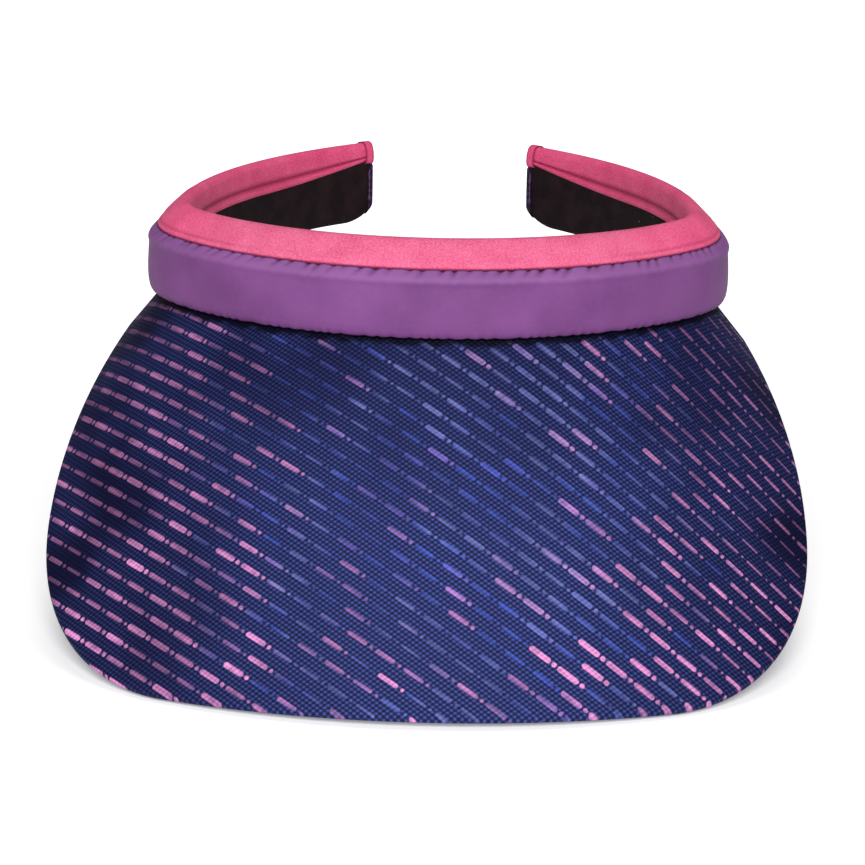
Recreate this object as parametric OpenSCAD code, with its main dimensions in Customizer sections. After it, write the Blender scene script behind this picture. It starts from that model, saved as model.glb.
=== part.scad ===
// Sun visor that clips round the head: a padded, sprung band that is open at the back,
// with a long sloping brim sewn under its front.
// Frame in millimetres: +X to the right, -Y to the front, +Z up. The origin is the centre of
// the head opening, on the band's lower edge and on the line between the temples.

/* [Band] */
// Plan radius of the front curve, at the top seam
front_r = 90.75; // [84:0.25:98]
// Plan radius of each temple curve, at the top seam
temple_r = 39.5; // [35:0.25:44]
// How far the arms reach behind the temple line
arm_reach = 114; // [90:1:125]
// Distance between the top seams at the two arm tips
tip_gap = 61; // [45:1:90]
// Thickness of the band, from the top seam to the face against the head
band_t = 8.8; // [8:0.1:11]
// Height of the outer cover, from its bottom seam to its top seam
cover_h = 19.5; // [17:0.5:26]
// How far the padded cover swells past the line between its two seams
cover_swell = 2.5; // [1.5:0.1:4]
// How far the bottom seam stands in front of the top seam
seam_lean = 1; // [0.5:0.1:2]
// Rise of the soft ridge above the top seam
ridge_rise = 6.5; // [5:0.1:9]
// Radius of the rolled ridge
ridge_r = 2; // [1.5:0.1:2.5]
// Thickness of the cover, binding and lining cloth
cloth_t = 0.9; // [0.5:0.1:1.1]
// How far the binding comes down the inner face, below the ridge
binding_drop = 10; // [7:0.5:12]

/* [Spring strip] */
// Thickness of the spring strip
strip_t = 1.2; // [0.6:0.1:1.6]
// Height of the spring strip
strip_h = 12; // [8:0.5:14]
// Distance of the strip's outer face behind the top seam
strip_back = 4; // [3:0.1:5]
// Height of the strip's lower edge above the band's lower edge
strip_lift = 5; // [3:0.5:7]
// Gap between the strip and its pocket in the foam
strip_fit = 0.1; // [0.05:0.05:0.3]

/* [Brim] */
// Slope of the brim below the horizontal, in degrees
brim_slope = 50; // [40:1:58]
// How far the brim reaches forward of the front top seam, seen from above
brim_front = 69.5; // [55:0.5:80]
// Width of the brim at its widest
brim_w = 210; // [200:1:222]
// Plan radius of the brim's front edge
brim_front_r = 169; // [155:1:210]
// Plan radius of the brim's rounded corners
brim_corner_r = 63.5; // [50:0.5:75]
// How far ahead of the temple line the brim stops
brim_stop = 5; // [3:0.5:10]
// How far the brim stands out from the top seam where it stops, seen from above
brim_end = 9.5; // [3.5:0.5:12]
// Thickness of the stiff board
board_t = 1.8; // [1:0.1:2.5]
// Thickness of the brim cloth
brim_cloth_t = 0.8; // [0.5:0.1:1]
// Width of the turned hem outside the board
brim_hem = 1.5; // [1:0.1:3]
// Height of the sewn allowance that goes up inside the band
allowance_h = 6; // [3:0.5:8]
// Gap between the sewn allowance and the foam and lining round it
allowance_fit = 0.1; // [0.05:0.05:0.3]

/* [Arm ends] */
// Radius of the rounded lower corner at each tip
tip_r = 7; // [4:0.5:9]
// Thickness of the cloth folded over each tip
wrap_t = 1.2; // [0.8:0.1:2]
// Height of the folded tab at the top of each tip
tab_h = 9; // [6:0.5:12]

/* [Flexing arms] */
// Smallest gap between an arm and the front, over the whole travel
flex_gap = 0.3; // [0.2:0.05:0.6]
// How far an arm can be squeezed inwards, in degrees
squeeze = 6; // [2:0.5:10]

/* [Stitches] */
// Length of one stitch
stitch_l = 2.2; // [1.5:0.1:3]
// Space between two stitches
stitch_space = 1.3; // [0.8:0.1:2]
// Width of the thread
thread_w = 0.45; // [0.3:0.05:0.7]
// How far the thread stands off the cloth
thread_t = 0.35; // [0.2:0.05:0.5]
// Height of the seam above the binding's lower edge, on the inner face
stitch_up = 2.2; // [1.5:0.1:3]
// Distance of the upright tack row from the arm's tip
tack_inset = 4; // [2.5:0.5:6]
// Number of stitches in each tack row
tack_count = 5; // [3:1:6]

/* [Hidden] */
$fn = 96;

pink = [0.91, 0.36, 0.53];
purple = [0.52, 0.33, 0.56];
black = [0.10, 0.08, 0.09];
navy = [0.11, 0.10, 0.24];
foam_grey = [0.80, 0.80, 0.78];
strip_white = [0.88, 0.88, 0.86];
board_white = [0.93, 0.93, 0.90];

// Reach of the cutting blocks past what they cut, size of blocks wider than the whole band,
// and the overlap that joins two lengths end to end
past = 20;
wide = 400;
hair = 0.00000005;

// Steps along each arc of the brim, and round half of its edge
front_steps = 32;
temple_steps = 12;
edge_steps = 3;

// Plan of the top seam: a front arc, a tighter arc round each temple and a long arc along
// each arm, all tangent where they meet. The front arc turns through a 3-4-5 angle each side.
turn_s = 0.8;
turn_c = 0.6;
front_turn = acos(turn_c);
front_y = (front_r - temple_r) * turn_c;
temple_x = (front_r - temple_r) * turn_s;
half_w = temple_x + temple_r;
front_depth = front_r - front_y;
tip_in = half_w - tip_gap / 2;
arm_r = (tip_in * tip_in + arm_reach * arm_reach) / (2 * tip_in);
arm_turn = asin(arm_reach / arm_r);
arm_x = half_w - arm_r;

// Section of the band, with the top seam at 0 across and cover_h up.
// The cover's face is an arc through both seams.
chord = norm([seam_lean, cover_h]);
swell_r = (chord * chord / 4 + cover_swell * cover_swell) / (2 * cover_swell);
swell_x = seam_lean / 2 - (swell_r - cover_swell) * cover_h / chord;
swell_z = cover_h / 2 - (swell_r - cover_swell) * seam_lean / chord;
swell_out = swell_x + swell_r;
ridge_x = ridge_r - band_t;
ridge_z = cover_h + ridge_rise - ridge_r;
top_z = cover_h + ridge_rise;
binding_z = top_z - binding_drop;
stitch_z = binding_z + stitch_up;
tab_z = top_z - tab_h;

// Layers of the brim, measured level because it is cut level where it meets the band
brim_t = board_t + 2 * brim_cloth_t;
level_cloth = brim_cloth_t / sin(brim_slope);
level_brim = brim_t / sin(brim_slope);

// Plan of the brim's edge: front arc, a corner arc each side as far as the widest point,
// then a side arc back to the band
edge_y = brim_front_r - front_depth - brim_front;
corner_x = brim_w / 2 - brim_corner_r;
corner_drop = sqrt(pow(brim_front_r - brim_corner_r, 2) - corner_x * corner_x);
widest_y = edge_y - corner_drop;
stop_heading = acos(brim_stop / temple_r);
end_in = brim_w / 2 - temple_x - (temple_r + brim_end) * sin(stop_heading);
end_back = -widest_y - (temple_r + brim_end) * cos(stop_heading);
side_r = (end_in * end_in + end_back * end_back) / (2 * end_in);
side_x = brim_w / 2 - side_r;

// The line that each arm flexes about stands just outside the cover at the temple
flex_x = half_w + swell_out + flex_gap;

// Across position of the cover's face at height z, for an outline set in by t
function face_x(t, z) = swell_x + sqrt(pow(swell_r - t, 2) - pow(z - swell_z, 2));

// Point where the line from p touches the upper side of a circle
function touch(p, centre, r) =
    let (v = p - centre, a = atan2(v.y, v.x) + acos(r / norm(v)))
    centre + r * [cos(a), sin(a)];

// Whole section of the band, set in by t all round
module section(t) {
    ridge = [ridge_x, ridge_z];
    seam = [face_x(t, cover_h), cover_h];
    polygon([
        [t - band_t, t],
        [face_x(t, t), t],
        seam,
        touch(seam, ridge, ridge_r - t),
        ridge,
        [t - band_t, ridge_z]
    ]);
    translate(ridge) circle(ridge_r - t);
    intersection() {
        translate([swell_x, swell_z]) circle(swell_r - t);
        translate([-ridge_r, t]) square([past, cover_h - t]);
    }
}

module cloth_ring() {
    difference() {
        section(0);
        section(cloth_t);
    }
}

// The outer cover takes the ring from its bottom edge up to the top seam
module cover_section() {
    intersection() {
        cloth_ring();
        union() {
            translate([0, -past]) square([past, past + cover_h]);
            translate([-ridge_r, cover_h / 2]) square([past, cover_h / 2]);
        }
    }
}

// The binding goes over the ridge and part way down the inner face
module binding_section() {
    intersection() {
        cloth_ring();
        union() {
            translate([-past, cover_h]) square([2 * past, past]);
            translate([-past, binding_z]) square([past + ridge_x, past]);
        }
    }
}

// The lining covers the inner face and turns under the band as far as foot_x
module lining_section(foot_x) {
    intersection() {
        cloth_ring();
        union() {
            translate([-past, cloth_t]) square([past + ridge_x, binding_z - cloth_t]);
            translate([-past, 0]) square([past + foot_x, cloth_t]);
        }
    }
}

module strip_section(fit) {
    translate([-strip_back - strip_t - fit, strip_lift - fit])
        square([strip_t + 2 * fit, strip_h + 2 * fit]);
}

module foam_section() {
    difference() {
        section(cloth_t);
        strip_section(strip_fit);
    }
}

// Room in the foam for the brim's sewn allowances
module allowance_slot() {
    translate([-level_brim - allowance_fit, 0])
        square([level_brim + allowance_fit, brim_cloth_t + allowance_fit]);
    translate([-2 * level_cloth - allowance_fit, 0])
        square([2 * level_cloth + allowance_fit, allowance_h + allowance_fit]);
}

// Carry a section along the front arc and both temple arcs. Each full ring is cut to its arc,
// with the front one cut a hair longer so that the three run into one.
module along_front() {
    intersection() {
        translate([0, front_y, 0]) rotate_extrude() translate([front_r, 0]) children();
        translate([0, hair, 0]) upright() polygon([
            [0, front_y],
            [-wide * turn_s, front_y - wide * turn_c],
            [-wide * turn_s, -wide],
            [wide * turn_s, -wide],
            [wide * turn_s, front_y - wide * turn_c]
        ]);
    }
    for (side = [0, 1])
        mirror([side, 0, 0]) intersection() {
            translate([temple_x, 0, 0]) rotate_extrude() translate([temple_r, 0]) children();
            upright() polygon([
                [temple_x, 0],
                [temple_x + wide * turn_s, -wide * turn_c],
                [temple_x + wide * turn_s, 0]
            ]);
        }
}

// An upright block from a plan, taller than the band
module upright() {
    translate([0, 0, -past]) linear_extrude(top_z + 2 * past) children();
}

// Carry a section along the right arm, as far as its square tip
module along_arm() {
    translate([arm_x, 0, 0])
        rotate_extrude(angle = arm_turn) translate([arm_r, 0]) children();
}

// What lies beyond the rounded end of the right arm, set in by t
module beyond_tip(t) {
    translate([arm_x, 0, 0]) rotate([0, 0, arm_turn]) translate([arm_r - past, 0, 0])
        rotate([90, 0, 90]) linear_extrude(2 * past) difference() {
            translate([-tip_r - t, -past]) square([tip_r + t + past, top_z + 2 * past]);
            translate([-tip_r - t, t + tip_r]) circle(tip_r);
            translate([-2 * tip_r - t, t + tip_r]) square([2 * tip_r, top_z + 2 * past]);
        }
}

// Room at the temple for the right arm to be squeezed inwards
module flex_room() {
    translate([flex_x, 0, 0]) rotate([0, 0, -squeeze])
        upright() translate([-2 * past, flex_gap - past]) square([3 * past, past]);
}

module right_arm_piece() {
    difference() {
        along_arm() children();
        beyond_tip(wrap_t);
        flex_room();
    }
}

// Headings of the brim's sections, counted from the front: even steps along each arc
brim_headings = concat(
    [for (i = [0 : temple_steps - 1]) -stop_heading + i * (stop_heading - front_turn) / temple_steps],
    [for (i = [0 : front_steps - 1]) (2 * i / front_steps - 1) * front_turn],
    [for (i = [0 : temple_steps]) front_turn + i * (stop_heading - front_turn) / temple_steps]
);

// Point of the top seam at heading h, seen from above
function seam_point(h) =
    abs(h) <= front_turn
    ? [front_r * sin(h), front_y - front_r * cos(h)]
    : [sign(h) * temple_x + temple_r * sin(h), -temple_r * cos(h)];

// Distance from p along the unit vector n to the far side of a circle
function far_hit(p, n, centre, r) =
    let (w = p - centre, b = w * n)
    -b + sqrt(b * b - w * w + r * r);

// Level distance from the top seam to the brim's edge at heading h
function brim_reach(h) =
    let (
        p = seam_point(abs(h)),
        n = [sin(abs(h)), -cos(h)],
        d_front = far_hit(p, n, [0, edge_y], brim_front_r),
        d_corner = far_hit(p, n, [corner_x, widest_y], brim_corner_r),
        d_side = far_hit(p, n, [side_x, widest_y], side_r),
        at_front = p + d_front * n,
        at_corner = p + d_corner * n
    )
    at_front.x * corner_drop <= corner_x * (edge_y - at_front.y) ? d_front
    : at_corner.y <= widest_y ? d_corner
    : d_side;

// Point of the brim's section: l down the slope and t below its top face
function on_slope(l, t) =
    [l * cos(brim_slope) - t * sin(brim_slope), -l * sin(brim_slope) - t * cos(brim_slope)];

// Part of the brim's round edge, from angle a0 to angle a1 below the top face
function brim_edge(l, a0, a1) = [
    for (i = [0 : edge_steps])
        let (a = a0 + i * (a1 - a0) / edge_steps)
        on_slope(l - brim_t / 2 * (1 - sin(a)), brim_t / 2 * (1 - cos(a)))
];

// Sections of the three layers for a brim that is l long. Each allowance goes up inside the band,
// and the lower one also closes the root of the board.
function top_profile(l) = concat(
    [[0, allowance_h], [0, 0]],
    brim_edge(l, 0, 90),
    [
        on_slope(l - brim_hem, brim_t / 2),
        on_slope(l - brim_hem, brim_cloth_t),
        [-level_cloth, 0],
        [-level_cloth, allowance_h]
    ]
);

function board_profile(l) = [
    [-level_cloth, 0],
    on_slope(l - brim_hem, brim_cloth_t),
    on_slope(l - brim_hem, brim_t - brim_cloth_t),
    [level_cloth - level_brim, 0]
];

function under_profile(l) = concat(
    [
        [-level_cloth, allowance_h],
        [-level_cloth, 0],
        [level_cloth - level_brim, 0],
        on_slope(l - brim_hem, brim_t - brim_cloth_t),
        on_slope(l - brim_hem, brim_t / 2)
    ],
    brim_edge(l, 90, 180),
    [
        [-level_brim, 0],
        [-level_brim, brim_cloth_t],
        [-2 * level_cloth, brim_cloth_t],
        [-2 * level_cloth, allowance_h]
    ]
);

// Closed shell through one section per heading, each in the upright plane square to the seam
module brim_shell(sections) {
    rings = len(sections);
    count = len(sections[0]);
    points = [
        for (i = [0 : rings - 1])
            let (h = brim_headings[i], p = seam_point(h))
            for (q = sections[i])
                [p.x + q.x * sin(h), p.y - q.x * cos(h), q.y]
    ];
    sides = [
        for (i = [0 : rings - 2], j = [0 : count - 1])
            let (
                a = i * count + j,
                b = i * count + (j + 1) % count,
                c = b + count,
                d = a + count
            )
            each [[a, b, c], [a, c, d]]
    ];
    first = [for (j = [0 : count - 1]) count - 1 - j];
    last = [for (j = [0 : count - 1]) (rings - 1) * count + j];
    polyhedron(points, concat(sides, [first, last]));
}

// Lengths down the slope that bring the round edge out to its plan
brim_lengths = [
    for (h = brim_headings)
        brim_t / 2 + (brim_reach(h) - brim_t / 2 * (1 - sin(brim_slope))) / cos(brim_slope)
];

module brim_board() {
    color(board_white) brim_shell([for (l = brim_lengths) board_profile(l)]);
}

module brim_top_cover() {
    color(navy) brim_shell([for (l = brim_lengths) top_profile(l)]);
}

module brim_under_cover() {
    color(navy) brim_shell([for (l = brim_lengths) under_profile(l)]);
}

module front_spring_strip() {
    color(strip_white) along_front() strip_section(0);
}

module front_foam_core() {
    color(foam_grey) along_front() difference() {
        foam_section();
        allowance_slot();
    }
}

module front_cover() {
    color(purple) along_front() cover_section();
}

module front_top_binding() {
    color(pink) along_front() binding_section();
}

module front_sweatband() {
    color(black) along_front() lining_section(-level_brim - allowance_fit);
}

// A row of stitches on the inner face of an arc of radius r, from angle a0 to angle a1
module stitch_row(r, a0, a1) {
    face_r = r - band_t;
    one = stitch_l / face_r * 180 / PI;
    pitch = (stitch_l + stitch_space) / face_r * 180 / PI;
    count = floor((a1 - a0) / pitch);
    for (i = [0 : count - 1])
        rotate([0, 0, (a0 + a1) / 2 + (i - count / 2) * pitch + (pitch - one) / 2])
            rotate_extrude(angle = one)
            translate([face_r - thread_t, stitch_z]) square([thread_t, thread_w]);
}

module front_binding_stitches() {
    color(pink) {
        translate([0, front_y, 0]) stitch_row(front_r, 270 - front_turn, 270 + front_turn);
        for (side = [0, 1])
            mirror([side, 0, 0]) translate([temple_x, 0, 0])
                stitch_row(temple_r, front_turn - 90, 0);
    }
}

module right_spring_strip() {
    color(strip_white) right_arm_piece() strip_section(0);
}

module right_foam_core() {
    color(foam_grey) right_arm_piece() foam_section();
}

module right_cover() {
    color(purple) right_arm_piece() cover_section();
}

module right_top_binding() {
    color(pink) right_arm_piece() binding_section();
}

module right_sweatband() {
    color(black) right_arm_piece() lining_section(0);
}

// Angle that a length on the arm's inner face turns through
function arm_angle(l) = l / (arm_r - band_t) * 180 / PI;

module right_binding_stitches() {
    start = arm_angle(stitch_l + band_t * tan(squeeze));
    color(pink) translate([arm_x, 0, 0])
        stitch_row(arm_r, start, arm_turn - arm_angle(tack_inset + stitch_l));
}

// Cloth folded over the tip, between heights z0 and z1
module folded_end(z0, z1) {
    intersection() {
        difference() {
            intersection() {
                along_arm() section(0);
                beyond_tip(wrap_t);
            }
            beyond_tip(0);
        }
        translate([-wide / 2, -wide / 2, z0]) cube([wide, wide, z1 - z0]);
    }
}

module right_end_wrap() {
    color(purple) folded_end(-past, tab_z);
}

module right_end_tab() {
    color(pink) folded_end(tab_z, top_z + past);
}

// Upright row of stitches through the lining at the tip
module right_end_stitches() {
    face_r = arm_r - band_t;
    pitch = (binding_z - tip_r) / tack_count;
    color(purple) translate([arm_x, 0, 0])
        rotate([0, 0, arm_turn - arm_angle(tack_inset)])
        for (i = [0 : tack_count - 1])
            rotate_extrude(angle = arm_angle(thread_w))
                translate([face_r - thread_t, tip_r + i * pitch])
                square([thread_t, pitch - stitch_space / 2]);
}

module left_spring_strip() mirror([1, 0, 0]) right_spring_strip();
module left_foam_core() mirror([1, 0, 0]) right_foam_core();
module left_cover() mirror([1, 0, 0]) right_cover();
module left_top_binding() mirror([1, 0, 0]) right_top_binding();
module left_sweatband() mirror([1, 0, 0]) right_sweatband();
module left_binding_stitches() mirror([1, 0, 0]) right_binding_stitches();
module left_end_wrap() mirror([1, 0, 0]) right_end_wrap();
module left_end_tab() mirror([1, 0, 0]) right_end_tab();
module left_end_stitches() mirror([1, 0, 0]) right_end_stitches();

brim_board();
brim_top_cover();
brim_under_cover();
front_spring_strip();
front_foam_core();
front_cover();
front_top_binding();
front_sweatband();
front_binding_stitches();
left_spring_strip();
left_foam_core();
left_cover();
left_top_binding();
left_sweatband();
left_binding_stitches();
left_end_wrap();
left_end_tab();
left_end_stitches();
right_spring_strip();
right_foam_core();
right_cover();
right_top_binding();
right_sweatband();
right_binding_stitches();
right_end_wrap();
right_end_tab();
right_end_stitches();
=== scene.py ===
import math

import bpy
import numpy as np
from mathutils import Matrix, Vector


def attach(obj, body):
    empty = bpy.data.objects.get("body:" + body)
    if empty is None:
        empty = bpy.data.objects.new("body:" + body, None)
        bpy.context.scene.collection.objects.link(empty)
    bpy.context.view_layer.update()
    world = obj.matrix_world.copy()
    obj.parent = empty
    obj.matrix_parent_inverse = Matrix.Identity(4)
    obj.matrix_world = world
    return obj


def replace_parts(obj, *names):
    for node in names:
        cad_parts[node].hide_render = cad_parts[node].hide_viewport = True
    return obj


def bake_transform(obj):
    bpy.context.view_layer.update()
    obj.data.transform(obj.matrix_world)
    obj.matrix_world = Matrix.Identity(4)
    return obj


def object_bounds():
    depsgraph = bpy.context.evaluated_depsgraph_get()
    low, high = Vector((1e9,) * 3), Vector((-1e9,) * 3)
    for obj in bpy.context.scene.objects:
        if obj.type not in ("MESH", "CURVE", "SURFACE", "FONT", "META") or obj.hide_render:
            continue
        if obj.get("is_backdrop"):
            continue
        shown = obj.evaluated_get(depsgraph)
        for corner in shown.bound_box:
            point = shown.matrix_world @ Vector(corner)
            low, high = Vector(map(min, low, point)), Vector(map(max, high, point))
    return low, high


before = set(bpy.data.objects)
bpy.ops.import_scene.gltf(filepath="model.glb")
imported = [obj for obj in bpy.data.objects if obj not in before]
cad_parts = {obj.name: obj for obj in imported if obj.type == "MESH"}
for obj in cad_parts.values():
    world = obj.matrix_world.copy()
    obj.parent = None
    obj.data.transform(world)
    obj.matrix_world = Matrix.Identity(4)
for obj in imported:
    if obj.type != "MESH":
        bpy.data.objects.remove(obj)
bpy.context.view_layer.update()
print("frame loaded")

mm = 0.001

# plan of the band's top seam: a front arc, a tighter arc round each temple, a long arc along each arm
plan = {
    "frontRadius": 90.75 * mm,
    "templeRadius": 39.5 * mm,
    "frontTurn": math.acos(0.6),
    "armReach": 114 * mm,  # behind the temple line
    "tipGap": 61 * mm,
    "cornerHigh": 8 * mm,  # the rounded lower corner of each tip
    "cornerLong": 13 * mm,
    "cornerTop": 16 * mm,  # height that the rounding leaves alone
    "tipWrap": 1.2 * mm,  # cloth folded over each tip
    "narrow": 5.4 * mm,  # rise of the binding's inner edge at each tip
    "narrowRun": 56 * mm,
    "armAhead": 22 * mm,  # run of the arms' cloth ahead of the temple line
    "bend": (-15.5 * mm, 30 * mm),  # where each arm bends, ahead of and behind that line
}

frontTurn = plan["frontTurn"]
frontY = (plan["frontRadius"] - plan["templeRadius"]) * math.cos(frontTurn)
templeX = (plan["frontRadius"] - plan["templeRadius"]) * math.sin(frontTurn)
halfWidth = templeX + plan["templeRadius"]
tipIn = halfWidth - plan["tipGap"] / 2
armRadius = (tipIn**2 + plan["armReach"] ** 2) / (2 * tipIn)
armX = halfWidth - armRadius
frontRun = plan["frontRadius"] * frontTurn
templeEnd = frontRun + plan["templeRadius"] * (math.pi / 2 - frontTurn)
tipEnd = templeEnd + armRadius * math.asin(plan["armReach"] / armRadius)
armStart = templeEnd - plan["armAhead"]


# how far a value has come from start to end, 0 to 1
def partWay(value, start, end):
    return np.clip((value - start) / (end - start), 0, 1)


# the same with soft ends: 3x^2 - 2x^3
def fade(value, start, end):
    x = partWay(value, start, end)
    return x * x * (3 - 2 * x)


# uneven waves: a sum of sines (height, length, sway, sway length), each phase swayed by a slower sine
def waves(run, parts):
    return sum(high * np.sin(run / long + sway * np.sin(run / slow)) for high, long, sway, slow in parts)


# point of the top seam and its outward normal, at run s from the front centre, + to the right:
# each stretch is an arc about its own centre, turned by the run over the radius
def bandPath(s):
    run = np.abs(s)
    side = np.where(s < 0, -1.0, 1.0)
    parts = [run <= frontRun, run <= templeEnd]
    heading = np.select(
        parts,
        [run / plan["frontRadius"], frontTurn + (run - frontRun) / plan["templeRadius"]],
        math.pi / 2 + (run - templeEnd) / armRadius,
    )
    radius = np.select(parts, [plan["frontRadius"], plan["templeRadius"]], armRadius)
    centreX = np.select(parts, [0.0, templeX], armX)
    centreY = np.select(parts, [frontY, 0.0], 0.0)
    x = side * (centreX + radius * np.sin(heading))
    y = centreY - radius * np.cos(heading)
    return x, y, side * np.sin(heading), -np.cos(heading)


# given points (mm) made into one even line: resampled by length and averaged over a window
def smoothLine(points, count, soften):
    fineCount = 800
    p = np.array(points, float) * mm
    run = np.r_[0, np.cumsum(np.hypot(*np.diff(p, axis=0).T))]
    fine = np.linspace(0, run[-1], fineCount)
    line = np.stack([np.interp(fine, run, p[:, 0]), np.interp(fine, run, p[:, 1])], 1)
    reach = max(1, int(soften * mm / run[-1] * fineCount))
    before = 2 * line[0] - line[reach:0:-1]
    after = 2 * line[-1] - line[-2 : -reach - 2 : -1]
    longer = np.concatenate([before, line, after])
    window = np.hanning(2 * reach + 3)[1:-1]
    window /= window.sum()
    soft = np.stack([np.convolve(longer[:, i], window, "valid") for i in range(2)], 1)
    pick = np.linspace(0, len(soft) - 1, count)
    return np.stack([np.interp(pick, np.arange(len(soft)), soft[:, i]) for i in range(2)], 1)


# unit normals of a section line, to the right of its direction
def lineNormals(line):
    d = np.gradient(line, axis=0)
    d /= np.linalg.norm(d, axis=1, keepdims=True)
    return np.stack([d[:, 1], -d[:, 0]], 1)


# closed section of a cloth at each station: its outer face, moved along the normals, and back one
# thickness inside
def clothSection(line, out, move, thickness):
    outer = line + out * move[..., None]
    inner = np.broadcast_to((line - out * thickness)[::-1], outer.shape)
    section = np.concatenate([outer, inner], 1)
    return section[..., 0], section[..., 1]


# painted crease shade of such a section: as given on the outer face, full on the inner one
def withInside(paintedCreaseShade):
    return np.concatenate([paintedCreaseShade, np.ones_like(paintedCreaseShade)], 1)


# a mesh, light or camera put into the scene at the origin
def addObject(name, data):
    obj = bpy.data.objects.new(name, data)
    bpy.context.scene.collection.objects.link(obj)
    return obj


# mesh from points, quads and their map, with the faces turned so that they enclose a positive volume
def makeObject(name, points, quads, uv, material, sharp=60, paintedShade=None):
    a, b, c, d = (points[quads[:, i]] for i in range(4))
    volume = (a * np.cross(b, c)).sum() + (a * np.cross(c, d)).sum()
    if volume < 0:
        quads, uv = quads[:, ::-1], uv[:, ::-1]
    mesh = bpy.data.meshes.new(name)
    mesh.vertices.add(len(points))
    mesh.vertices.foreach_set("co", points.astype(np.float32).ravel())
    mesh.loops.add(quads.size)
    mesh.loops.foreach_set("vertex_index", np.ascontiguousarray(quads, dtype=np.int32).ravel())
    mesh.polygons.add(len(quads))
    mesh.polygons.foreach_set("loop_start", np.arange(0, quads.size, 4, dtype=np.int32))
    mesh.update(calc_edges=True)
    layer = mesh.uv_layers.new(name="cloth")
    layer.data.foreach_set("uv", np.ascontiguousarray(uv, dtype=np.float32).ravel())
    # painted shade: the piece's shade mask, stored as a point attribute for the materials
    if paintedShade is not None:  # 0 on open cloth, 1 deep in a crease
        shade = mesh.attributes.new("paintedShade", "FLOAT", "POINT")
        shade.data.foreach_set("value", paintedShade.astype(np.float32).ravel())
    mesh.shade_smooth()
    mesh.set_sharp_from_angle(angle=math.radians(sharp))
    mesh.materials.append(material)
    return addObject(name, mesh)


# faces of a tube: point j of ring i meets the next point and the next ring, and the last point the first
def tubeQuads(rings, around):
    i, j = np.meshgrid(np.arange(rings - 1), np.arange(around), indexing="ij")
    after = (j + 1) % around
    corners = [i * around + j, (i + 1) * around + j, (i + 1) * around + after, i * around + after]
    return np.stack(corners, -1).reshape(-1, 4)


# skin through one closed section per station; point j of a section faces point k-1-j across it,
# so the two ends are closed with a strip of quads. The map is in metres: along and round the section.
def loft(name, points, along, material, flat=None, sharp=60, paintedShade=None):
    n, k = points.shape[:2]
    if flat is None:
        step = np.linalg.norm(np.roll(points, -1, 1) - points, axis=2)
        across = np.concatenate([np.zeros((n, 1)), np.cumsum(step, 1)], 1)
        flat = np.stack([np.broadcast_to(along[:, None], across.shape), across], -1)
    else:
        flat = np.concatenate([flat, flat[:, :1]], 1)
    uv = np.stack([flat[:-1, :-1], flat[1:, :-1], flat[1:, 1:], flat[:-1, 1:]], 2).reshape(-1, 4, 2)
    h = np.arange(k // 2 - 1)
    cap = np.stack([h, h + 1, k - 2 - h, k - 1 - h], -1)
    quads = np.concatenate([tubeQuads(n, k), cap, cap[:, ::-1] + (n - 1) * k])
    uv = np.concatenate([uv, flat[0, :-1][cap], flat[-1, :-1][cap[:, ::-1]]])
    return makeObject(name, points.reshape(-1, 3), quads, uv, material, sharp, paintedShade)


# section lines (r out from the seam, z up) carried along the band
def alongBand(s, r, z):
    x, y, nx, ny = bandPath(s)
    return np.stack([x[:, None] + nx[:, None] * r, y[:, None] + ny[:, None] * r, z], -1)


# even stations (step in mm) of the front, or of an arm out to its folded tip
def stations(side, step):
    if side == "front":
        return np.linspace(-armStart, armStart, int(2 * armStart / (step * mm)))
    run = np.linspace(armStart, tipEnd - plan["tipWrap"], int((tipEnd - armStart) / (step * mm)))
    return run if side == "right" else -run


# the lower corner of each tip is round: low points lift along a quarter of an ellipse near the tip
def tipLift(s, z):
    steepest = 0.995  # just short of the ellipse's upright end
    past = np.minimum(partWay(np.abs(s), tipEnd - plan["cornerLong"], tipEnd), steepest)
    lift = plan["cornerHigh"] * (1 - np.sqrt(1 - past**2))
    return z + lift[:, None] * partWay(z, plan["cornerTop"], 0)


# the binding's inner edge rises over the last run of each arm, with the square of the way along it
def tipNarrow(s):
    return plan["narrow"] * partWay(np.abs(s), tipEnd - plan["narrowRun"], tipEnd) ** 2


# the piece's place baked into its own mesh; the arm is not bent over the stretch round the temple line
def bandBlend(obj):
    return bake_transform(obj)


# a rigid piece that stands in for a CAD node
def rigid(obj, body, node):
    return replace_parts(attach(obj, body), node)


# colours are noted as they look on screen, 0 to 255, and made linear here
def colour(r, g, b):
    c = np.array([r, g, b]) / 255
    c = np.where(c <= 0.04045, c / 12.92, ((c + 0.055) / 1.055) ** 2.4)
    return (*c.tolist(), 1.0)


# a new material, its nodes and its shader
def newMaterial(name):
    material = bpy.data.materials.new(name)
    material.use_nodes = True
    return material, material.node_tree, material.node_tree.nodes["Principled BSDF"]


# what holds all over a surface, by the shader's own names
def setFinish(shader, finish):
    for socket, value in finish.items():
        shader.inputs[socket].default_value = value


# a link where the value comes from a node, else a fixed value
def put(tree, socket, value):
    if isinstance(value, bpy.types.NodeSocket):
        tree.links.new(value, socket)
    else:
        socket.default_value = value


# one math node
def calc(tree, operation, *values):
    made = tree.nodes.new("ShaderNodeMath")
    made.operation = operation
    for socket, value in zip(made.inputs, values):
        put(tree, socket, value)
    return made.outputs[0]


def times(tree, first, second):
    return calc(tree, "MULTIPLY", first, second)


# value x factor + base
def scaled(tree, value, factor, base):
    return calc(tree, "MULTIPLY_ADD", value, factor, base)


# 0..1 moved to low..high
def between(tree, share, low, high):
    return scaled(tree, share, high - low, low)


# two values, each times its own share
def weighed(tree, first, second, shares):
    return scaled(tree, first, shares[0], times(tree, second, shares[1]))


# root of a^2 + b^2
def hypotenuse(tree, a, b):
    return calc(tree, "SQRT", scaled(tree, a, a, times(tree, b, b)))


# first colour at 0, second at 1
def mixed(tree, share, first, second):
    made = tree.nodes.new("ShaderNodeMix")
    made.data_type = "RGBA"
    for index, value in ((0, share), (6, first), (7, second)):
        put(tree, made.inputs[index], value)
    return made.outputs[2]


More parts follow.
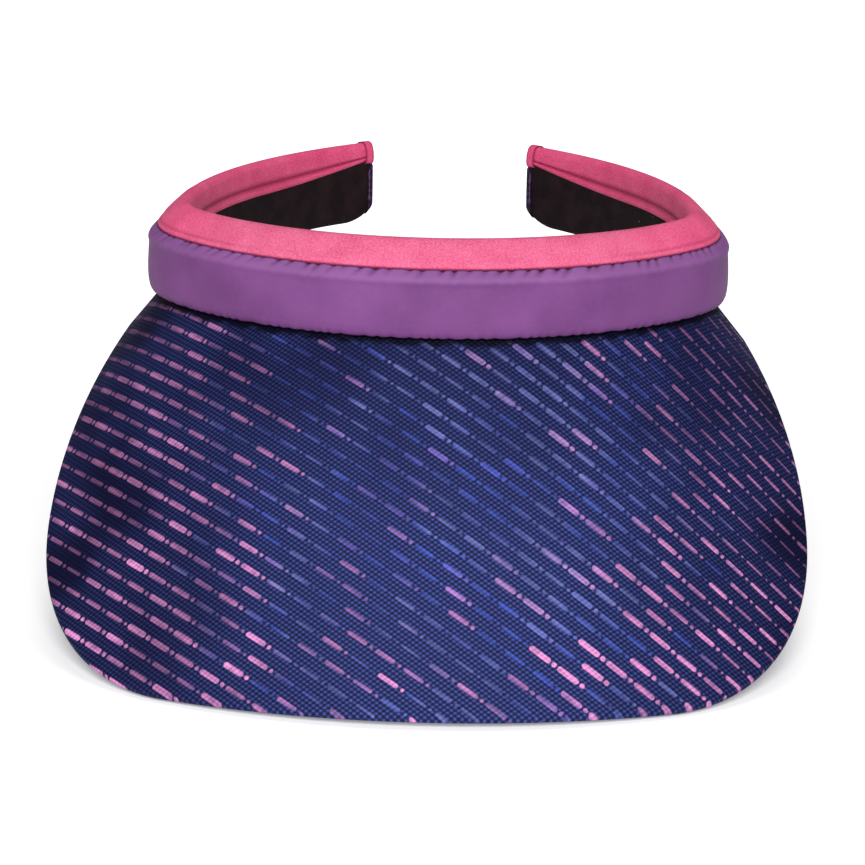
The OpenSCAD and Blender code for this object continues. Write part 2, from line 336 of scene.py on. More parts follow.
# value moved from low..high to 0..1, with soft ends
def ramp(tree, value, low, high):
    made = tree.nodes.new("ShaderNodeMapRange")
    made.interpolation_type = "SMOOTHSTEP"
    for index, v in ((0, value), (1, low), (2, high)):
        put(tree, made.inputs[index], v)
    return made.outputs[0]


# the piece's own map, in metres, and its two parts in millimetres
def clothMap(tree):
    source = tree.nodes.new("ShaderNodeUVMap")
    source.uv_map = "cloth"
    split = tree.nodes.new("ShaderNodeSeparateXYZ")
    tree.links.new(source.outputs[0], split.inputs[0])
    return source.outputs[0], times(tree, split.outputs[0], 1 / mm), times(tree, split.outputs[1], 1 / mm)


# painted shade: the look, darkened towards a shade colour where the piece's attribute marks creases and other
# shaded places
def paintShade(tree, look, amount, shade):
    source = tree.nodes.new("ShaderNodeAttribute")
    source.attribute_name = "paintedShade"
    return mixed(tree, times(tree, source.outputs["Fac"], amount), look, shade)


# noise with features of about one size (mm)
def noise(tree, where, size, detail):
    made = tree.nodes.new("ShaderNodeTexNoise")
    made.inputs["Scale"].default_value = 1 / (size * mm)
    made.inputs["Detail"].default_value = detail
    tree.links.new(where, made.inputs["Vector"])
    return made.outputs[0]


# blotches: the noise, as a soft step between two of its levels
def blotches(tree, where, size, detail, low, high):
    return ramp(tree, noise(tree, where, size, detail), low, high)


# straight ribs at an angle, as a sine of the distance across them
def ribs(tree, u, v, angle, pitch):
    a = math.radians(angle)
    turn = 2 * math.pi / pitch
    return calc(tree, "SINE", scaled(tree, v, turn * math.sin(a), times(tree, u, turn * math.cos(a))))


# colour and finish of a surface, and its height as small relief
def dress(tree, shader, look, height, surface):
    put(tree, shader.inputs["Base Color"], look)
    setFinish(shader, surface["finish"])
    strength, distance = surface["bump"]
    made = tree.nodes.new("ShaderNodeBump")
    made.inputs["Strength"].default_value = strength
    made.inputs["Distance"].default_value = distance * mm
    tree.links.new(height, made.inputs["Height"])
    tree.links.new(made.outputs[0], shader.inputs["Normal"])


# In the looks below sizes are in mm. Two numbers for a noise are its size and detail, and four for
# blotches add their two levels; ribs have an angle and a pitch, and a bump has a strength and a height.
# Shares and heights are of the grain and of what goes with it, in the colour and in the bump.
satin = {
    "deep": (100, 55, 108),
    "light": (126, 74, 133),
    # painted shade in creases: its colour and how much of it shows
    "paintedCreaseShade": (46, 20, 54),
    "paintedShadeShare": 0.9,
    # painted highlight on the roll under the top seam, and how much of it shows
    "roll": (150, 100, 158),  # the lighter roll under the top seam, and how much of it shows
    "paintedLightShare": 0.4,
    "paintedLightTop": (1.6, 2.6),  # its soft edges, down the cloth
    "paintedLightFoot": (7.2, 5.4),
    "cloud": (22, 2, 0.25, 0.75),
    "grain": (1.6, 3),
    "shares": (0.35, 0.65),
    "ribs": (62, 0.42),
    "heights": (1.5, 0.25),
    "finish": {"Roughness": 0.6, "Specular IOR Level": 0.14},
    "bump": (0.35, 0.06),
}
# the satin folded over the tips: a darker copy of it, for painted shade all over the wrap, with no painted
# highlight on a roll
paintedShadeSatin = {
    **satin,
    "deep": (66, 38, 84),
    "light": (96, 60, 118),
    "paintedCreaseShade": (20, 10, 22),
    "paintedLightShare": 0.0,
}


# clouds and a fine grain between two shades, a painted highlight on the roll under the top seam, painted
# shade in creases, and slanted ribs in the bump
def satinMaterial(name, cloth):
    material, tree, shader = newMaterial(name)
    where, u, v = clothMap(tree)
    cloud = blotches(tree, where, *cloth["cloud"])
    grain = noise(tree, where, *cloth["grain"])
    share = weighed(tree, grain, cloud, cloth["shares"])
    look = mixed(tree, share, colour(*cloth["deep"]), colour(*cloth["light"]))
    if cloth["paintedLightShare"] > 0:
        roll = times(tree, ramp(tree, v, *cloth["paintedLightTop"]), ramp(tree, v, *cloth["paintedLightFoot"]))
        look = mixed(tree, times(tree, roll, cloth["paintedLightShare"]), look, colour(*cloth["roll"]))
    look = paintShade(tree, look, cloth["paintedShadeShare"], colour(*cloth["paintedCreaseShade"]))
    weave = ribs(tree, u, v, *cloth["ribs"])
    dress(tree, shader, look, weighed(tree, grain, weave, cloth["heights"]), cloth)
    return material


knit = {
    "deep": (190, 50, 98),
    "light": (238, 124, 160),
    # painted bounce light on the arms: a richer, brighter pink, from the front centre outwards
    "paintedBounceDeep": (200, 38, 95),  # on the arms
    "paintedBounceLight": (249, 108, 153),
    "paintedBounceFrom": (48, 100),  # from the front centre
    # painted shade in creases: its colour and how much of it shows
    "paintedCreaseShade": (146, 14, 64),
    "paintedShadeShare": 0.8,
    "loops": [(28, 0.62), (-28, 0.62)],
    "loopShare": 0.06,
    "grain": (0.7, 3),
    "grainLevels": (0.3, 0.7),
    "cloud": (9, 2),
    "shares": (0.36, 0.64),
    "heights": (1.2, 0.3),
    "finish": {
        "Roughness": 0.75,
        "Specular IOR Level": 0.2,
        "Sheen Weight": 0.03,
        "Sheen Roughness": 0.5,
    },
    "bump": (0.7, 0.16),
}


# two crossed sets of ribs for the loops, over grain and clouds, with painted bounce light, a richer and
# brighter pink, towards the arms, and painted shade in creases
def knitMaterial():
    material, tree, shader = newMaterial("pinkKnit")
    where, u, v = clothMap(tree)
    loops = calc(tree, "ADD", *[ribs(tree, u, v, *one) for one in knit["loops"]])
    grain = noise(tree, where, *knit["grain"])
    cloud = noise(tree, where, *knit["cloud"])
    mottle = weighed(tree, ramp(tree, grain, *knit["grainLevels"]), cloud, knit["shares"])
    share = scaled(tree, loops, knit["loopShare"], mottle)
    look = mixed(tree, share, colour(*knit["deep"]), colour(*knit["light"]))
    paintedBounce = mixed(tree, share, colour(*knit["paintedBounceDeep"]), colour(*knit["paintedBounceLight"]))
    look = mixed(tree, ramp(tree, calc(tree, "ABSOLUTE", u), *knit["paintedBounceFrom"]), look, paintedBounce)
    look = paintShade(tree, look, knit["paintedShadeShare"], colour(*knit["paintedCreaseShade"]))
    dress(tree, shader, look, weighed(tree, grain, loops, knit["heights"]), knit)
    return material


lining = {
    "deep": (15, 9, 12),
    "light": (42, 28, 31),
    "weave": [(40, 0.9), (-40, 0.9)],
    "grain": (1.1, 4),
    "cloud": (7, 2, 0.3, 0.75),
    "shares": (0.45, 0.5),
    "heights": (1.0, 0.5),
    "lint": (205, 200, 205),
    "specks": (1.7, 0, 0.77, 0.82),
    "lintStart": (150, 160),  # soft ends of its stretch of the right arm, and its lower edge
    "lintEnd": (196, 186),
    "lintLow": (13, 11),
    "finish": {"Roughness": 0.9, "Specular IOR Level": 0.1},
    "bump": (0.5, 0.12),
}


# grain and clouds between two dark shades, with a few specks of lint on the right arm
def liningMaterial():
    material, tree, shader = newMaterial("blackLining")
    where, u, v = clothMap(tree)
    weave = times(tree, *[ribs(tree, u, v, *one) for one in lining["weave"]])
    grain = noise(tree, where, *lining["grain"])
    cloud = blotches(tree, where, *lining["cloud"])
    share = weighed(tree, grain, cloud, lining["shares"])
    ground = mixed(tree, share, colour(*lining["deep"]), colour(*lining["light"]))
    speck = blotches(tree, where, *lining["specks"])
    arm = times(tree, ramp(tree, u, *lining["lintStart"]), ramp(tree, u, *lining["lintEnd"]))
    arm = times(tree, arm, ramp(tree, v, *lining["lintLow"]))
    look = mixed(tree, times(tree, arm, speck), ground, colour(*lining["lint"]))
    dress(tree, shader, look, weighed(tree, grain, weave, lining["heights"]), lining)
    return material


brimCloth = {
    "deep": (7, 9, 40),
    "light": (74, 86, 158),
    # painted shade in the crease under the band: its colour and how much of it shows
    "paintedCreaseShade": (5, 4, 16),
    "paintedShadeShare": 0.92,
    "weave": [(53, 1.15), (127, 1.15)],
    "threadRound": 2.4,  # power that narrows the lit crown of each thread
    "grain": (0.9, 3),
    "shares": (0.16, 0.85),
    "heights": (0.25, 1.0),
    "finish": {
        "Roughness": 0.6,
        "Specular IOR Level": 0.06,
        "Sheen Weight": 0.02,
        "Sheen Roughness": 0.3,
    },
    "bump": (0.6, 0.3),
}


# two crossed sets of ribs: dark between the threads and light on their crowns
def brimMaterial(name, printed):
    b = brimCloth
    material, tree, shader = newMaterial(name)
    where, u, v = clothMap(tree)
    crossed = calc(tree, "ADD", *[ribs(tree, u, v, *one) for one in b["weave"]])
    weave = scaled(tree, crossed, 0.25, 0.5)  # -2..2 to 0..1
    crown = calc(tree, "POWER", weave, b["threadRound"])
    grain = noise(tree, where, *b["grain"])
    share = weighed(tree, grain, crown, b["shares"])
    look = mixed(tree, share, colour(*b["deep"]), colour(*b["light"]))
    if printed:
        look = addPrint(tree, u, v, where, weave, share, look)
    look = paintShade(tree, look, b["paintedShadeShare"], colour(*b["paintedCreaseShade"]))
    dress(tree, shader, look, weighed(tree, grain, weave, b["heights"]), b)
    return material


dashPrint = {
    "blue": (74, 98, 206),
    "haze": (132, 140, 212),
    "pink": (226, 146, 204),
    "night": (22, 22, 50),  # of the ground at the sides and under the seam
    "rowAngle": -34,
    "rowPitch": 4.9,
    "dashPitch": 9.0,
    "dashHalf": 2.5,
    "dashRadius": 0.58,
    "dotRadius": 0.5,
    "edge": (-0.22, 0.2),
    "numberFrom": 0.125,  # share of a repeat, in the gap before each dash, where its own number starts
    "ownWeight": (0.7, 1.2),  # least and most, from that number
    "swell": (12, 118),  # broad waves that thicken and thin the dashes
    "swellShare": 0.22,
    "cloud": (34, 1, 0.34, 0.62),
    "patch": (3.2, 2, 0.2, 0.6),
    "hazePatch": (26, 1, 0.42, 0.58),
    "cloudDepth": (0.4, 1.0),  # how far the print shows: least and most, for each cause
    "patchDepth": (0.55, 1.0),
    "ownDepth": (0.45, 1.1),
    "lowDepth": (0.65, 1.15),
    "weaveDepth": (0.5, 1.0),
    "lowFrom": (0, -75),  # down the brim
    "middle": 8,  # bluest line, right of the centre
    "sides": (18, 104),  # from that line
    "high": (-70, 0),
    "highShare": 0.75,
    "cloudShade": (1.0, 0.65),
    "ownTint": (-0.75, 0.15),  # towards pink: from each dash's own number, and at the foot of the brim
    "footTint": 0.25,
    "footFrom": (-50, -100),
    "pinkFrom": (-0.05, 0.35),
}


# distance from the middle of a repeat: |fraction - 1/2| x pitch
def fromMiddle(tree, place, pitch):
    apart = calc(tree, "SUBTRACT", calc(tree, "FRACT", place), 0.5)
    return times(tree, calc(tree, "ABSOLUTE", apart), pitch)


# straight rows of round-ended dashes with a dot between each two, every second row shifted by half a step
def addPrint(tree, u, v, where, weave, share, ground):
    p = dashPrint
    a = math.radians(p["rowAngle"])
    along = scaled(tree, v, math.sin(a), times(tree, u, math.cos(a)))
    across = scaled(tree, v, math.cos(a), times(tree, u, -math.sin(a)))
    rowPlace = calc(tree, "DIVIDE", across, p["rowPitch"])
    row = calc(tree, "FLOOR", rowPlace)
    dashPlace = scaled(tree, row, 0.5, calc(tree, "DIVIDE", along, p["dashPitch"]))
    off = fromMiddle(tree, rowPlace, p["rowPitch"])
    cell = fromMiddle(tree, dashPlace, p["dashPitch"])
    beyond = calc(tree, "MAXIMUM", calc(tree, "SUBTRACT", cell, p["dashHalf"]), 0.0)
    toDash = hypotenuse(tree, beyond, off)
    toDot = hypotenuse(tree, calc(tree, "SUBTRACT", p["dashPitch"] / 2, cell), off)
    # every dash shares a number with the dot after it, which varies their weight and tint
    number = tree.nodes.new("ShaderNodeTexWhiteNoise")
    number.noise_dimensions = "2D"
    pair = tree.nodes.new("ShaderNodeCombineXYZ")
    put(tree, pair.inputs[0], calc(tree, "FLOOR", calc(tree, "SUBTRACT", dashPlace, p["numberFrom"])))
    put(tree, pair.inputs[1], row)
    tree.links.new(pair.outputs[0], number.inputs["Vector"])
    own = number.outputs["Value"]
    weight = between(tree, own, *p["ownWeight"])
    weight = scaled(tree, ribs(tree, u, v, *p["swell"]), p["swellShare"], weight)
    dash = calc(tree, "SUBTRACT", times(tree, weight, p["dashRadius"]), toDash)
    dot = calc(tree, "SUBTRACT", times(tree, weight, p["dotRadius"]), toDot)
    ink = ramp(tree, calc(tree, "MAXIMUM", dash, dot), *p["edge"])
    # broad clouds and small patches let the print sink into the ground, more so near the seam
    cloud = blotches(tree, where, *p["cloud"])
    causes = {
        "cloudDepth": cloud,
        "patchDepth": blotches(tree, where, *p["patch"]),
        "ownDepth": calc(tree, "POWER", own, 2.0),
        "lowDepth": ramp(tree, v, *p["lowFrom"]),
        "weaveDepth": weave,
    }
    for cause, value in causes.items():
        ink = times(tree, ink, between(tree, value, *p[cause]))
    # the ground darkens to the sides and to the seam
    side = ramp(tree, calc(tree, "ABSOLUTE", calc(tree, "ADD", u, -p["middle"])), *p["sides"])
    high = times(tree, ramp(tree, v, *p["high"]), p["highShare"])
    shade = times(tree, between(tree, cloud, *p["cloudShade"]), calc(tree, "MAXIMUM", side, high))
    dark = mixed(tree, share, colour(*brimCloth["deep"]), colour(*p["night"]))
    ground = mixed(tree, shade, ground, dark)
    # blue in the middle, pink to the sides and the foot
    tint = calc(tree, "ADD", side, between(tree, own, *p["ownTint"]))
    tint = scaled(tree, ramp(tree, v, *p["footFrom"]), p["footTint"], tint)
    cool = mixed(tree, blotches(tree, where, *p["hazePatch"]), colour(*p["blue"]), colour(*p["haze"]))
    warm = ramp(tree, tint, *p["pinkFrom"])
    return mixed(tree, ink, ground, mixed(tree, warm, cool, colour(*p["pink"])))


thread = {
    "pink": (166, 36, 84),
    "purple": (112, 86, 124),
    "dark": 0.6,  # shade between the strands
    "strands": (35, 0.35),
    "strandShare": (0.3, 0.6),  # swing and middle of the lit share
    "finish": {"Roughness": 0.6, "Specular IOR Level": 0.2},
    "bump": (0.5, 0.05),
}


# slanted strands between the thread's shade and a darker one
def threadMaterial(name, shade):
    material, tree, shader = newMaterial(name)
    u, v = clothMap(tree)[1:]
    twist = ribs(tree, u, v, *thread["strands"])
    dark = [thread["dark"] * c for c in shade]
    lit = scaled(tree, twist, *thread["strandShare"])
    look = mixed(tree, lit, colour(*dark), colour(*shade))
    dress(tree, shader, look, twist, thread)
    return material


# what the cloth hides
core = {
    "foamGrey": {
        "deep": (150, 150, 146),
        "light": (222, 222, 216),
        "pores": (0.8, 4),
        "finish": {"Roughness": 0.95},
        "bump": (0.8, 0.3),
    },
    "stripPlastic": {
        "deep": (214, 214, 208),
        "light": (236, 236, 232),
        "pores": (3, 3),
        "finish": {"Roughness": 0.4},
        "bump": (0.2, 0.05),
    },
    "boardPlastic": {
        "deep": (196, 196, 192),
        "light": (226, 226, 222),
        "pores": (4, 3),
        "finish": {"Roughness": 0.45},
        "bump": (0.2, 0.05),
    },
}


# one noise between two shades and in the bump, on the piece's own map or, for a CAD node, in its space
def coreMaterial(name, mapped):
    stuff = core[name]
    material, tree, shader = newMaterial(name)
    where = clothMap(tree)[0] if mapped else tree.nodes.new("ShaderNodeTexCoord").outputs["Object"]
    pores = noise(tree, where, *stuff["pores"])
    look = mixed(tree, pores, colour(*stuff["deep"]), colour(*stuff["light"]))
    dress(tree, shader, look, pores, stuff)
    return material


purple = satinMaterial("purpleSatin", satin)
paintedShadePurple = satinMaterial("paintedShadeSatin", paintedShadeSatin)
pink = knitMaterial()
black = liningMaterial()
navyPrint = brimMaterial("navyPrint", True)
navyUnder = brimMaterial("navyUnder", False)
pinkThread = threadMaterial("pinkThread", thread["pink"])
purpleThread = threadMaterial("purpleThread", thread["purple"])
foamGrey = coreMaterial("foamGrey", True)
stripWhite = coreMaterial("stripPlastic", True)
print("materials made")

# outer cover: rolls out under the top seam, stands upright and tucks in above the brim; in mm
cover = {
    "line": [
        (-1.2, 19.2), (-0.3, 19.2), (0.7, 18.8), (1.8, 18.2), (2.8, 17.3), (3.45, 16.4), (3.75, 15.5),
        (3.4, 14.1), (3.55, 12), (3.75, 8), (3.75, 5), (3.6, 3), (3.2, 1.4), (2.4, 0.2), (1.4, -0.2),
        (0.6, 0.2),
    ],
    "soften": 0.9,
    "thickness": 0.7,
    "points": 64,
    "step": 0.4,
    "seamRun": 1.9,  # of the line, hidden under the binding's edge
    # painted shade: under the top seam, and where the cloth tucks in at the bottom
    "seamShade": (0.1, 1.0),  # run below it over which the dark crease fades
    "footShade": (-2.2, -0.4),  # and where the cloth darkens again, up from its lower edge
    "waves": [(0.1, 6.1, 0.6, 17), (0.07, 2.7, 1.3, 11)],
    "waveEnds": (3, 2),  # clear of the waves at the top and the foot
    "scallop": 0.3,
    "scallopLong": 1.15,
    "scallopSway": [(1.4, 5.3, 0, 1), (0.8, 2.3, 0, 1)],
    "scallopSink": 0.12,
    "scallopFrom": (-5, -1.5),  # up from the lower edge
    "puckerPitch": 4.1,
    "puckerPlace": (0.2, 0.8),  # within each pitch
    "puckerDepth": (0.35, 0.85),
    "puckerWidth": (0.6, 1.1),
    "puckerLean": (0.25, 0.7),
    "puckerLong": (2.8, 5.2),
    "puckerReach": 8,
    # painted shade in the gathers, as a share of their depth
    "puckerShade": 0.6,
    "seed": 7,
    "fill": 0.85,
}


# gathers under the top seam: slanted grooves, each a bell across and fading down from the seam (all in mm)
def puckers(s, down):
    rng = np.random.default_rng(cover["seed"])
    pitch = cover["puckerPitch"]
    count = int(2 * tipEnd / mm / pitch)
    place = (np.arange(count) + rng.uniform(*cover["puckerPlace"], count)) * pitch - tipEnd / mm
    width = rng.uniform(*cover["puckerWidth"], count)
    depth = rng.uniform(*cover["puckerDepth"], count)
    lean = rng.uniform(*cover["puckerLean"], count)
    long = rng.uniform(*cover["puckerLong"], count)
    groove = np.zeros((len(s), len(down)))
    for p, w, d, slant, g in zip(place, width, depth, lean, long):
        near = np.abs(s - p) < cover["puckerReach"]
        off = (s[near, None] - p + slant * down[None, :]) / w
        groove[near] += d * np.exp(-(off**2)) * fade(down[None, :], g, 0)
    return groove


# the line carried along the band, moved by upright waves on its face, scallops at its foot and gathers
def coverPart(name, s):
    line = smoothLine(cover["line"], cover["points"], cover["soften"])
    run = s / mm
    seamDown = np.r_[0, np.cumsum(np.hypot(*np.diff(line, axis=0).T))] / mm - cover["seamRun"]
    down = np.clip(seamDown, 0, None)
    foot = down - down[-1]  # up from the lower edge, as minus numbers
    top, low = cover["waveEnds"]
    face = np.sin(math.pi * partWay(down, top, down[-1] - low))
    bow = np.abs(np.sin(run / cover["scallopLong"] + waves(run, cover["scallopSway"])))
    scallop = (cover["scallop"] * bow - cover["scallopSink"])[:, None] * fade(foot, *cover["scallopFrom"])
    gathers = puckers(run, down)
    move = waves(run, cover["waves"])[:, None] * face + scallop - gathers
    # painted shade in the creases: in the gathers, under the top seam and where the cloth tucks in at the
    # bottom
    paintedTuckShade = np.maximum(1 - fade(seamDown, *cover["seamShade"]), fade(foot, *cover["footShade"]))
    paintedCreaseShade = np.clip(np.maximum(cover["puckerShade"] * gathers, paintedTuckShade), 0, 1)
    r, z = clothSection(line, -lineNormals(line), move * mm, cover["thickness"] * mm)
    return loft(name, alongBand(s, r, tipLift(s, z)), s, purple, paintedShade=withInside(paintedCreaseShade))


# top binding: over the ridge and down the inner face, with a stitched groove above its rolled edge; in mm
binding = {
    "line": [
        (-1.0, 18.0), (0.2, 18.2), (0.85, 18.7), (0.85, 19.5), (0.35, 20.4), (-0.9, 21.6), (-2.6, 23.3),
        (-4.3, 24.9), (-5.7, 25.8), (-7.0, 26.0), (-8.2, 25.4), (-8.8, 24.2), (-8.95, 22), (-8.9, 19.9),
        (-8.5, 18.6), (-9.0, 17.6), (-9.2, 16.7), (-9.05, 15.9), (-8.7, 15.5),
    ],
    "soften": 0.6,
    "thickness": 0.7,
    "points": 80,
    "step": 0.7,
    "waves": [(0.12, 5.3, 1, 13), (0.08, 2.1, 0, 1)],
    "wavePoints": ((8, 18), (38, 26)),  # points of the line between which the waves come and go
    "front": -2,  # r out from here is the front face
    "inside": -7,  # and in from here the inner one
    "insideRise": (-7.2, -7.8),  # r over which the tip's narrowing sets in
    "groove": 18.6,
    # width of the painted shade along the stitched groove
    "grooveWidth": 1.0,
    "dent": 20.5,
    "dentWidth": 0.4,
    "dentDepth": 0.3,
    "dentStart": (40, 75),  # soft ends of the dent: from the front centre, and back past the temple line
    "dentEnd": (60, 30),
    # painted shade in the dent, as a share of its depth
    "dentShade": 0.5,
    # painted shade at the front seam
    "seam": (18.75, 19.35),  # heights between which the dark front seam fades
    "rise": (22.5, 16.0),  # heights between which the tip's narrowing grows to its full rise
    "flat": 21,  # width as cut
}


# share of the tip's narrowing at a height (mm) on the inner face
def riseShare(z):
    return partWay(z, *binding["rise"])


# the line carried along the band, with soft waves, and a dent along the front towards the temples
def bindingPart(name, s):
    b = binding
    line = smoothLine(b["line"], b["points"], b["soften"])
    lineR, lineZ = line.T / mm
    run = s / mm
    coming, going = b["wavePoints"]
    point = np.arange(b["points"])
    face = fade(point, *coming) * fade(point, *going)
    past = np.abs(run) - templeEnd / mm
    temple = fade(np.abs(run), *b["dentStart"]) * fade(past, *b["dentEnd"])
    dent = temple[:, None] * np.exp(-(((lineZ - b["dent"]) / b["dentWidth"]) ** 2)) * (lineR > b["front"])
    move = waves(run, b["waves"])[:, None] * face - b["dentDepth"] * dent
    r, z = clothSection(line, lineNormals(line), move * mm, b["thickness"] * mm)
    inside = partWay(r / mm, *b["insideRise"]) * riseShare(z / mm)
    # painted shade in the stitched groove, at the front seam and in the dent
    groove = np.exp(-(((lineZ - b["groove"]) / b["grooveWidth"]) ** 2)) * (lineR < b["inside"])
    seam = (1 - fade(lineZ, *b["seam"])) * (lineR > b["front"])
    paintedCreaseShade = np.maximum(np.maximum(groove, seam)[None], b["dentShade"] * dent)
    z = z + tipNarrow(s)[:, None] * inside
    return loft(name, alongBand(s, r, z), s, pink, paintedShade=withInside(paintedCreaseShade))


# lining of the inner face, turned under the band; in mm
sweatband = {
    "face": [(-8.3, 17.0), (-8.6, 15.4), (-8.75, 11), (-8.8, 6), (-8.6, 1.7), (-7.9, 0.25)],
    "frontFoot": [(-6.4, -0.05), (-4.8, 0.1)],
    "armFoot": [(-6.0, -0.05), (-2.5, 0), (0.3, 0.1)],
    "soften": 1.2,
    "thickness": 0.7,
    "points": 34,
    "step": 0.9,
    "waves": [(0.15, 6.7, 1, 15)],
    "rise": (9, 16),  # heights between which its top follows the binding's narrowing
    "flat": {"front": 20, "left": 26, "right": 26},  # width as cut
}


# the line carried along the band, with soft waves in its middle; its top rises with the binding's edge
def liningPart(name, s, side):
    foot = sweatband["frontFoot"] if side == "front" else sweatband["armFoot"]
    line = smoothLine(sweatband["face"] + foot, sweatband["points"], sweatband["soften"])
    middle = np.sin(math.pi * np.linspace(0, 1, sweatband["points"])) ** 2
    move = waves(s / mm, sweatband["waves"])[:, None] * middle
    r, z = clothSection(line, lineNormals(line), move * mm, sweatband["thickness"] * mm)
    high = partWay(z / mm, *sweatband["rise"])
    return loft(name, alongBand(s, r, tipLift(s, z) + tipNarrow(s)[:, None] * high), s, black)


# foam core: a thick skin round the spring strip's pocket, with its outline a little inside the cloth; in mm
foam = {
    "outside": [
        (-3.4, 1.0), (-0.3, 1.0), (1.5, 1.7), (2.2, 4), (2.3, 10), (1.9, 14), (0.9, 17.0), (-0.6, 19.0),
        (-3.2, 22.0), (-5.2, 24.1), (-6.7, 24.9), (-7.7, 24.1), (-7.9, 21), (-7.6, 17), (-7.8, 10), (-7.8, 4),
        (-7.4, 1.6), (-5.9, 1.0),
    ],
    "pocket": [(-3.8, 1.0), (-3.8, 10), (-3.8, 17.2), (-5.4, 17.2), (-5.4, 10), (-5.4, 1.0)],
    "soften": {"outside": 0.5, "pocket": 0.1},
    "points": 48,
    "step": 2.0,
    "fill": 1.0,
}


# the outline and the pocket joined at the bottom into one closed section, carried along the band
def foamPart(name, s):
    outside, pocket = (smoothLine(foam[k], foam["points"], foam["soften"][k]) for k in ("outside", "pocket"))
    section = np.broadcast_to(np.concatenate([outside, pocket[::-1]]), (len(s), 2 * foam["points"], 2))
    return loft(name, alongBand(s, section[..., 0], tipLift(s, section[..., 1])), s, foamGrey)


# flat spring strip inside the foam; in mm
strip = {"face": -4.0, "thickness": 1.2, "low": 5.0, "high": 17.0, "points": 5, "step": 2.0}


# a flat upright section carried along the band
def stripPart(name, s):
    r = np.repeat([strip["face"], strip["face"] - strip["thickness"]], strip["points"]) * mm
    up = np.linspace(strip["low"], strip["high"], strip["points"]) * mm
    z = np.broadcast_to(np.r_[up, up[::-1]], (len(s), len(r)))
    return loft(name, alongBand(s, r, z), s, stripWhite, sharp=30)


stitch = {
    "long": 2.2 * mm,
    "space": 1.3 * mm,
    "wide": 0.4 * mm,
    "thick": 0.4 * mm,
    "face": -8.5 * mm,
    "tipSpace": 5 * mm,  # none so close to a tip
    "blunt": 0.94,  # share of the spindle's half length that is kept
    "full": 0.7,  # under 1 swells it
    "rings": 7,
}


# stitches as small spindles: rings whose radius falls to the ends, lying along the band or upright
def stitchRow(name, s, r, z, long, upright, material):
    rings = stitch["rings"]
    around = 8
    end = np.array([[0, 1, 2, 3], [0, 3, 4, 7], [4, 5, 6, 7]])  # closes a ring of eight
    t = np.linspace(-1, 1, rings)
    size = np.sqrt(1 - (stitch["blunt"] * t) ** 2) ** stitch["full"]
    a = np.arange(around) * 2 * math.pi / around
    x, y, nx, ny = bandPath(s)
    outward = np.stack([nx, ny, np.zeros_like(nx)], -1)
    forward = np.stack([-ny, nx, np.zeros_like(nx)], -1)
    up = np.broadcast_to([0.0, 0.0, 1.0], forward.shape)
    length, width = (up, forward) if upright else (forward, up)
    centre = np.stack([x + nx * r, y + ny * r, np.broadcast_to(z, x.shape)], -1)
    points = (
        centre[:, None, None]
        + length[:, None, None] * (t * long / 2)[None, :, None, None]
        + width[:, None, None] * (size[:, None] * np.cos(a) * stitch["wide"] / 2)[None, :, :, None]
        + outward[:, None, None] * (size[:, None] * np.sin(a) * stitch["thick"] / 2)[None, :, :, None]
    )
    one = np.concatenate([tubeQuads(rings, around), end, end[:, ::-1] + (rings - 1) * around])
    quads = (one[None] + (np.arange(len(s)) * rings * around)[:, None, None]).reshape(-1, 4)
    flat = np.stack(np.meshgrid(t * long / 2, a * stitch["wide"] / 2, indexing="ij"), -1).reshape(-1, 2)
    uv = np.tile(flat[one], (len(s), 1, 1))
    return makeObject(name, points.reshape(-1, 3), quads, uv, material)


# even places of whole stitches, centred between two runs
def stitchPlaces(start, end):
    pitch = stitch["long"] + stitch["space"]
    count = int((end - start) / pitch)
    return (start + end) / 2 + (np.arange(count) - (count - 1) / 2) * pitch


# row in the binding's groove, which rises with the narrowing of the tip
def seamRow(side):
    if side == "front":
        s = stitchPlaces(-armStart, armStart)
    else:
        s = stitchPlaces(armStart, tipEnd - stitch["tipSpace"]) * (1 if side == "right" else -1)
    z = binding["groove"] * mm + riseShare(binding["groove"]) * tipNarrow(s)
    return stitchRow(side + "SeamStitches", s, stitch["face"], z, stitch["long"], False, pinkThread)


# the band's three stretches, by the CAD nodes that their pieces stand in for
band = {}
for side in ("front", "left", "right"):
    band[side] = {
        "cover": coverPart(side + "Cover", stations(side, cover["step"])),
        "top_binding": bindingPart(side + "Binding", stations(side, binding["step"])),
        "sweatband": liningPart(side + "Lining", stations(side, sweatband["step"]), side),
        "foam_core": foamPart(side + "Foam", stations(side, foam["step"])),
        "spring_strip": stripPart(side + "Strip", stations(side, strip["step"])),
        "binding_stitches": seamRow(side),
    }
    for node, piece in band[side].items():
        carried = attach(piece, "front") if side == "front" else bandBlend(piece)
        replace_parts(carried, side + "_" + node)
    print(side, "of the band made")
